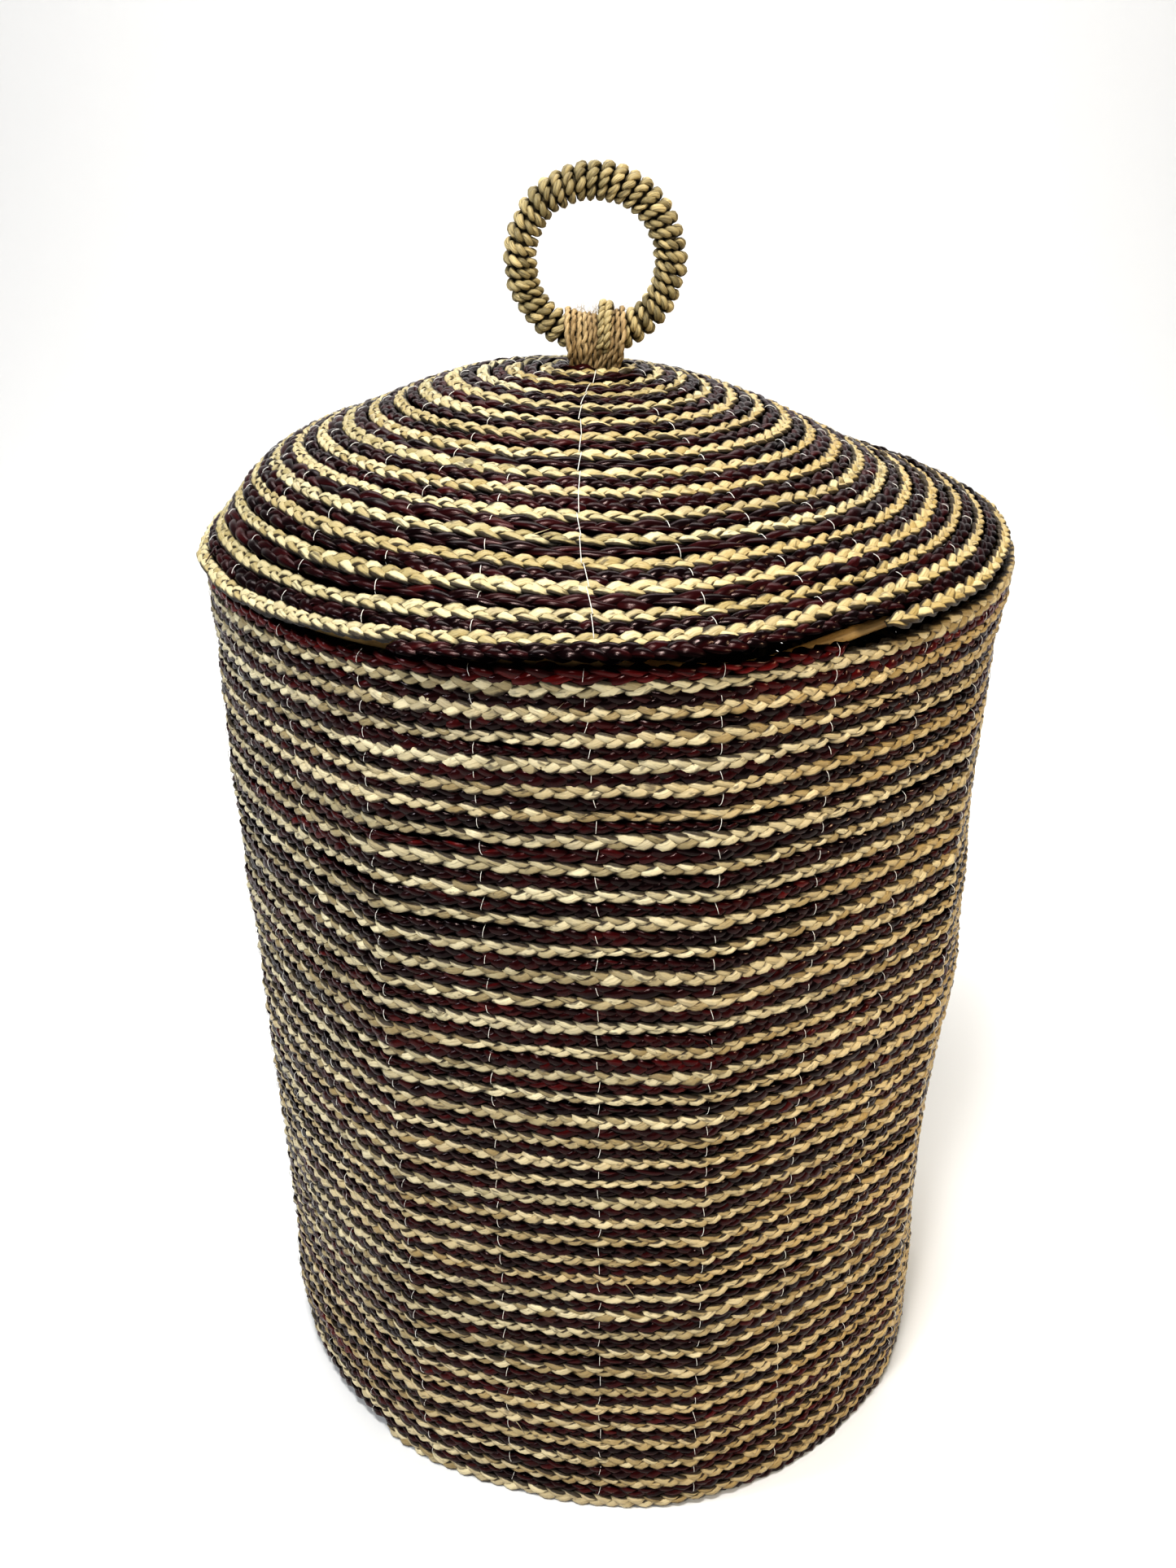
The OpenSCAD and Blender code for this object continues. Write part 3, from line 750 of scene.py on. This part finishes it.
# the lid's hoop, bent with the lid's edge
k = 361
th = np.linspace(0, TAU, k)
s_hoop = LID_ARC - 13.0
c, n = dome_at(th, np.full(k, s_hoop), 13.0)
c[-1], n[-1] = c[0], n[0]
low = np.clip(570.4 - c[:, 2], 0, 9)       # it never sinks into the rim's hoop
c[:, 2] += low + 5.0 * bell(angle_gap(th, 66), 0, 40) + 2.2 * bell(angle_gap(th, 0), 0, 26)
pole("lid_edge_cane", c, n, 3.6, 51, "lid", "lid_hoop")
for i in range(8):
    z = np.linspace(17.2, 561.2 - 1.4 * (1 + math.cos(math.radians(STAKE_AZ + 45 * i))), 110)
    th = np.full(110, math.radians(STAKE_AZ + 45 * i)) + 0.004 * noise(z, 60 + i, 120)
    r = wall_r(th, z) - 12.4
    c = np.stack([r * np.sin(th), -r * np.cos(th), z], 1)
    pole("upright_cane_%d" % (i + 1), c, np.stack([np.sin(th), -np.cos(th), 0 * th], 1), 3.4, 70 + i, "basket", "stake_%d" % (i + 1))
for i in range(4):
    ss = np.linspace(34, LID_ARC - 24, 80)
    th = np.full(80, math.radians(90 + STAKE_AZ + 45 + 90 * i)) + 0.004 * noise(ss, 90 + i, 80)
    c, n = dome_at(th, ss, 13.2)
    pole("lid_rib_cane_%d" % (i + 1), c, n, 3.4, 80 + i, "lid", "lid_rib_%d" % (i + 1))


# ---------------------------------------------------------------- sewing
def thread(b, pts, r=0.45, sides=6, shade=0.5):
    pts = np.asarray(pts, float)
    if len(pts) < 2:
        return
    t = unit(np.gradient(pts, axis=0))
    ref = np.tile([[0.31, 0.2, 0.93]], (len(pts), 1))
    a = unit(np.cross(t, ref))
    o = unit(np.cross(a, t))
    b.tube(pts, a, o, r, r, sides, {"tone": shade, "tone2": shade, "lift": 1.0, "warm": 0.0, "hue": 0.5})


rng = np.random.RandomState(5)
b = Bundle("wall_sewing")
for j in range(24):
    deg = -1.3 + 15 * j
    # one long stitch over each dark row and through the pale rope, swaying a little from row to row
    sway = rng.uniform(-0.25, 0.25, 80).cumsum() * 0.5
    th0 = math.radians(deg)
    # heights of the dark rows on this bearing
    turns = np.arange(-1, 38) + (deg % 360) / 360
    turns = turns[(turns > -0.55) & (turns < DARK_TOP)]
    for q, tau in enumerate(turns):
        zc = float(wall_height(np.array([tau]), 7.47)[0])
        slant = rng.uniform(-1.3, 1.3)
        off = sway[q] + rng.uniform(-0.5, 0.5)
        f = np.linspace(-1, 1, 9)
        m = zc + 4.2 * f
        lean = -5.5 * float(smooth(zc, 455, 565)) * float(1 - smooth(abs(angle_gap(th0, 0)), 10, 40)) * (1 if deg < 5 else 0.2)
        th = th0 + (off + lean + slant * f) / 225.0
        p, n = basket_at(th, np.maximum(m, 0), 0)
        deep = 1.6 + 3.4 * np.abs(f) ** 3.0
        thread(b, p - n * deep[:, None], 0.2)
b.build(M_NYLON, "basket", ("wall_stitching",))

b = Bundle("base_sewing")
for j in range(12):
    deg = -1.3 + 30 * j
    for k in range(13):
        r = 12.95 + 14.9 * (k + (deg % 360) / 360)
        if r < 30 and j % 3:
            continue
        if r > 203:
            continue
        f = np.linspace(-1, 1, 7)
        rr = r + 5.2 * f
        a = math.radians(deg) + rng.uniform(-1, 1) / max(r, 30) + 0 * f
        z = 0.9 + 4.0 * np.abs(f) ** 3
        thread(b, np.stack([rr * np.sin(a), -rr * np.cos(a), z], 1), 0.4)
b.build(M_NYLON, "basket", ("base_stitching",))

b = Bundle("lid_sewing")
for j in range(24):
    deg = -0.8 + 15 * j
    for k in range(15):
        x = -k - 0.0 + (-(deg % 360)) / 360
        s = 266.0 + LID_ROW * x
        if s < 22 or s > (267.4 if j == 0 else 259) or (s < 150 and j % 2) or (s < 70 and j % 4):
            continue
        f = np.linspace(-1, 1, 9)
        off = rng.uniform(-0.7, 0.7)
        slant = rng.uniform(-1.0, 1.0)
        reach = 8.3 if j == 0 else 4.6
        th = math.radians(deg) + (off + slant * f) / np.maximum(s, 20)
        p, n = dome_at(th, s + reach * f, 0)
        deep = (0.75 + 0.9 * np.abs(f) ** 2) if j == 0 else (1.3 + 4.0 * np.abs(f) ** 3.2)
        thread(b, p - n * deep[:, None], 0.27 if j == 0 else 0.24)
b.build(M_NYLON, "lid", ("lid_stitching",))


# ---------------------------------------------------------------- the ring's winding
def cord(b, c, n, ply_r, ply_off, twist, seed, plies=2, sides=8, phase=0.0, squash=1.0):
    """A twisted cord of a few plies along the path c, laid against a surface with normal n. squash: how much it is pressed together sideways."""
    d = np.concatenate([[0], np.cumsum(np.linalg.norm(np.diff(c, axis=0), axis=1))])
    t, a, o = frames(c, n)
    sq = np.broadcast_to(squash, d.shape)
    for i in range(plies):
        f = TAU * (d / twist + i / plies) + phase + 0.6 * noise(d, seed + i, 16)
        q = c + (ply_off * sq * np.cos(f))[:, None] * a + (ply_off * np.sin(f))[:, None] * o
        tt = unit(np.gradient(q, axis=0))
        aa = unit(np.cross(o, tt))
        oo = np.cross(tt, aa)
        r = ply_r * (1 + 0.17 * noise(d, seed + 10 + i, 7) + 0.10 * np.sin(f))
        b.tube(q, aa, oo, r * sq, r, sides,
               {"tone": steps(d, seed + 20 + i, 60), "tone2": 0.5 + 0.5 * noise(d, seed + 30 + i, 24), "lift": 0.5 + 0.5 * np.sin(f), "warm": 0.0, "hue": 0.5}, u=d + 300.0 * i, fold=0.15, seed=seed + 5 * i, deep=(c, o, ply_r + ply_off))


TURNS = 41
k = int(TURNS * 46)
phi = np.linspace(0, TAU, k + 1)
# the turns bunch up a little here and there
psi = TURNS * phi + 1.1 * noise(np.degrees(phi), 91, 37) * np.sin(phi / 2)
hr = 6.0 + 0.5 * noise(np.degrees(phi) * 3, 92, 17) + 1.3 * bell((np.degrees(phi) + 180) % 360, 180, 45) + 0.8 * bell(np.degrees(phi), 180, 40)
rad = np.stack([np.sin(phi), 0 * phi, np.cos(phi)], 1)
yax = np.tile([[0, 1.0, 0]], (k + 1, 1))
core = np.array([[RING_X, 0, RING_Z]]) + RING_R * rad
dirn = np.cos(psi)[:, None] * rad + np.sin(psi)[:, None] * yax
b = Bundle("ring_winding")
cord(b, core + hr[:, None] * dirn, dirn, 1.85, 1.55, 9.3, 700, 2, 12, 0.0, (RING_R + hr * np.cos(psi)) / (RING_R + 5.0))
b.build(M_WRAP, "ring", ("ring_wrap",))

# ---------------------------------------------------------------- the lashing
b = Bundle("lashing")
xs_l = np.linspace(-15.6, 15.4, 11)
rng = np.random.RandomState(9)
for i, xl in enumerate(xs_l):
    rho = RING_R - math.sqrt(33.1 ** 2 - xl ** 2) + 1.9 + rng.uniform(-0.2, 0.5)
    a = np.linspace(-math.pi / 2, math.pi / 2, 41)
    loop = np.stack([xl + 0.5 * np.sin(a * 1.3 + i), rho * np.sin(a), HINGE_Z + rho * np.cos(a)], 1)
    h = np.linspace(0, 1, 24)[1:]
    x_in = xl * 0.80
    leg = lambda sgn: np.stack([xl + (x_in - xl) * h ** 1.2 + 0.35 * np.sin(h * 7 + i * 1.7), sgn * (rho + (7.6 + rng.uniform(-0.8, 0.8) - rho) * smooth(h, 0.15, 1.0)), HINGE_Z - 19.5 * h], 1)
    c = np.concatenate([leg(-1)[::-1], loop, leg(1)])
    c[:, 0] += RING_X
    nrm = np.concatenate([np.tile([[0, -1.0, 0.1]], (23, 1)), np.stack([0 * a, np.sin(a), np.cos(a)], 1), np.tile([[0, 1.0, 0.1]], (23, 1))])
    dd = np.linspace(0, np.linalg.norm(np.diff(c, axis=0), axis=1).sum(), 110)
    cu = np.concatenate([[0], np.cumsum(np.linalg.norm(np.diff(c, axis=0), axis=1))])
    c = np.stack([np.interp(dd, cu, c[:, q]) for q in range(3)], 1)
    nrm = unit(np.stack([np.interp(dd, cu, nrm[:, q]) for q in range(3)], 1))
    cord(b, c, nrm, 1.12, 0.6, 13.0, 800 + 7 * i, 2, 9, rng.uniform(0, 6))
g = np.random.RandomState(12)
for _ in range(420):
    # stray fibres
    xl = g.uniform(-15.6, 15.6)
    rho = RING_R - math.sqrt(33.1 ** 2 - xl ** 2) + 3.2
    a0 = g.uniform(-2.2, 2.2)
    if abs(a0) < math.pi / 2:
        q, o = np.array([xl, rho * math.sin(a0), HINGE_Z + rho * math.cos(a0)]), np.array([0, math.sin(a0), math.cos(a0)])
    else:
        sg = math.copysign(1, a0)
        q, o = np.array([xl * 0.9, sg * rho * 0.8, HINGE_Z - 16 * (abs(a0) - math.pi / 2)]), np.array([0, sg, 0.0])
    d0 = g.normal(size=3) * [1, 0.5, 0.9] + o * 0.7
    d1 = g.normal(size=3) + o * 0.2
    x = np.linspace(0, 1, 6)[:, None]
    c = q + [RING_X, 0, 0] + g.uniform(2, 5.5) * (x * d0 / np.linalg.norm(d0) + 0.35 * x * x * d1)
    tt = unit(np.gradient(c, axis=0))
    ww = unit(np.cross(np.tile([0.3, 0.9, 0.2], (6, 1)), tt))
    b.tube(c, ww, np.cross(tt, ww), 0.07, 0.07, 4, {"tone": 1.0, "tone2": 0.2, "lift": 1.0, "warm": 0.0, "hue": 0.5})
b.build(M_JUTE, "lid", ("handle_lashing",))

# one turn of the ring's cord goes over the lashing
b = Bundle("lashing_cord")
for i, xl in enumerate((4.3, 7.9)):
    rho = RING_R - math.sqrt(33.1 ** 2 - xl ** 2) + 4.4 - 0.6 * i
    a = np.linspace(-math.pi / 2, math.pi / 2, 60)
    c = np.stack([xl + 1.2 * np.sin(a), rho * np.sin(a), HINGE_Z + (rho + 4.6 - 1.0 * i) * np.cos(a)], 1)
    h = np.linspace(0, 1, 24)[1:]
    leg = lambda sgn: np.stack([xl + 1.2 * sgn - 3.0 * h, sgn * (rho - (rho - 6.5) * smooth(h, 0.0, 0.7)), HINGE_Z - 18.5 * h], 1)
    c = np.concatenate([leg(-1)[::-1], c, leg(1)])
    c[:, 0] += RING_X
    nrm = np.concatenate([np.tile([[0, -1.0, 0.1]], (23, 1)), np.stack([0 * a, np.sin(a), np.cos(a)], 1), np.tile([[0, 1.0, 0.1]], (23, 1))])
    cu = np.concatenate([[0], np.cumsum(np.linalg.norm(np.diff(c, axis=0), axis=1))])
    dd = np.linspace(0, cu[-1], 120)
    c = np.stack([np.interp(dd, cu, c[:, q]) for q in range(3)], 1)
    nrm = unit(np.stack([np.interp(dd, cu, nrm[:, q]) for q in range(3)], 1))
    cord(b, c, nrm, 1.3, 1.05, 8.5, 860 + 9 * i, 2, 9, 1.0 + 2.2 * i)
b.build(M_WRAP, "lid", ("handle_lashing",))

b = Bundle("knot")
k = 420
f = np.linspace(0, 1, k)
for i in range(3):
    a = TAU * (f * 2 + i / 3)
    q = np.stack([RING_X + (10.5 + 2.2 * np.cos(3 * a + i)) * np.cos(a), (8.0 + 2.0 * np.sin(3 * a + 2 * i)) * np.sin(a), 648.0 + 4.5 * np.sin(1.5 * a + i) + 1.2 * np.cos(4 * a)], 1)
    cord(b, q, unit(np.stack([np.cos(a), np.sin(a), 0.4 + 0 * a], 1)), 1.15, 0.95, 9.0, 900 + 11 * i, 2, 7)
b.build(M_JUTE, "lid", ("lashing_knot",))

# ---------------------------------------------------------------- the canes kept from the CAD
KEPT = ["base_hoop", "base_cross_bar_1", "base_cross_bar_2", "ring_core"]
for name in KEPT:
    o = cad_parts[name]
    for sl in o.material_slots:
        sl.material = M_CORE if name == "ring_core" else M_CANE
    if not o.material_slots:
        o.data.materials.append(M_CORE if name == "ring_core" else M_CANE)

# ---------------------------------------------------------------- floor, light, camera
scene = bpy.context.scene
FLOOR_Z = float(min(CAD_LO[2], 0.0)) - 0.0


def studio_floor():
    """A pale floor that curves up behind."""
    prof = [(-2.6, 0.0), (2.2, 0.0)]
    prof += [(2.2 + 1.2 * math.sin(a), 1.2 - 1.2 * math.cos(a)) for a in np.linspace(0.08, math.pi / 2, 14)]
    prof += [(3.4, 5.0)]
    verts, faces = [], []
    for y, z in prof:
        verts += [(-5.0, y, z + FLOOR_Z), (5.0, y, z + FLOOR_Z)]
    for i in range(len(prof) - 1):
        faces.append((2 * i, 2 * i + 1, 2 * i + 3, 2 * i + 2))
    me = bpy.data.meshes.new("floor")
    me.from_pydata(verts, [], faces)
    me.shade_smooth()
    ob = bpy.data.objects.new("floor", me)
    scene.collection.objects.link(ob)
    m = bpy.data.materials.new("floor")
    m.use_nodes = True
    bs = m.node_tree.nodes["Principled BSDF"]
    bs.inputs["Base Color"].default_value = (0.9, 0.9, 0.9, 1)
    bs.inputs["Roughness"].default_value = 0.9
    bs.inputs["Specular IOR Level"].default_value = 0.1
    me.materials.append(m)
    return ob


floor = studio_floor()


def area(name, loc, target, size, power, colour=(1, 1, 1)):
    l = bpy.data.lights.new(name, "AREA")
    l.shape, l.size, l.size_y = "RECTANGLE", size[0], size[1]
    l.energy, l.color = power, colour
    o = bpy.data.objects.new(name, l)
    o.location = loc
    d = Vector(target) - Vector(loc)
    o.rotation_euler = d.to_track_quat("-Z", "Y").to_euler()
    scene.collection.objects.link(o)
    return o


area("key", (-0.15, -0.95, 2.35), (0, -0.05, 0.45), (0.5, 0.35), 27, (1.0, 0.985, 0.96))
area("spark", (-0.40, -1.8, 1.85), (0, -0.1, 0.4), (0.2, 0.13), 11, (1.0, 0.98, 0.96))
area("side", (1.9, -0.9, 1.3), (0, 0, 0.3), (0.3, 0.4), 13, (1.0, 0.86, 0.6))
area("left", (-1.9, -0.8, 1.3), (0, 0, 0.35), (0.3, 0.4), 9, (0.80, 0.90, 1.0))
area("back", (0.0, 1.7, 2.9), (0, 1.9, 0.0), (3.0, 1.6), 46, (1.0, 1.0, 1.0))

world = bpy.data.worlds.new("studio")
world.use_nodes = True
world.node_tree.nodes["Background"].inputs[0].default_value = (1, 1, 1, 1)
world.node_tree.nodes["Background"].inputs[1].default_value = 0.16
scene.world = world
scene.view_settings.view_transform = "Standard"
scene.view_settings.look = "High Contrast"

cam_data = bpy.data.cameras.new("camera")
W, H, F, CX, CY = 1445, 1927, 2026.5, 746.75, 951.9
cam_data.sensor_fit = "VERTICAL"
cam_data.sensor_height = 36.0
cam_data.lens = 36.0 * F / H
cam_data.shift_x = (W / 2 - CX) / H
cam_data.shift_y = (CY - H / 2) / H
cam_data.clip_start = 0.02
cam = bpy.data.objects.new("camera", cam_data)
cam.location = (0.0, -0.9668, 0.8400)
cam.rotation_euler = (math.radians(90 - 24.28), 0, 0)
scene.collection.objects.link(cam)
scene.camera = cam
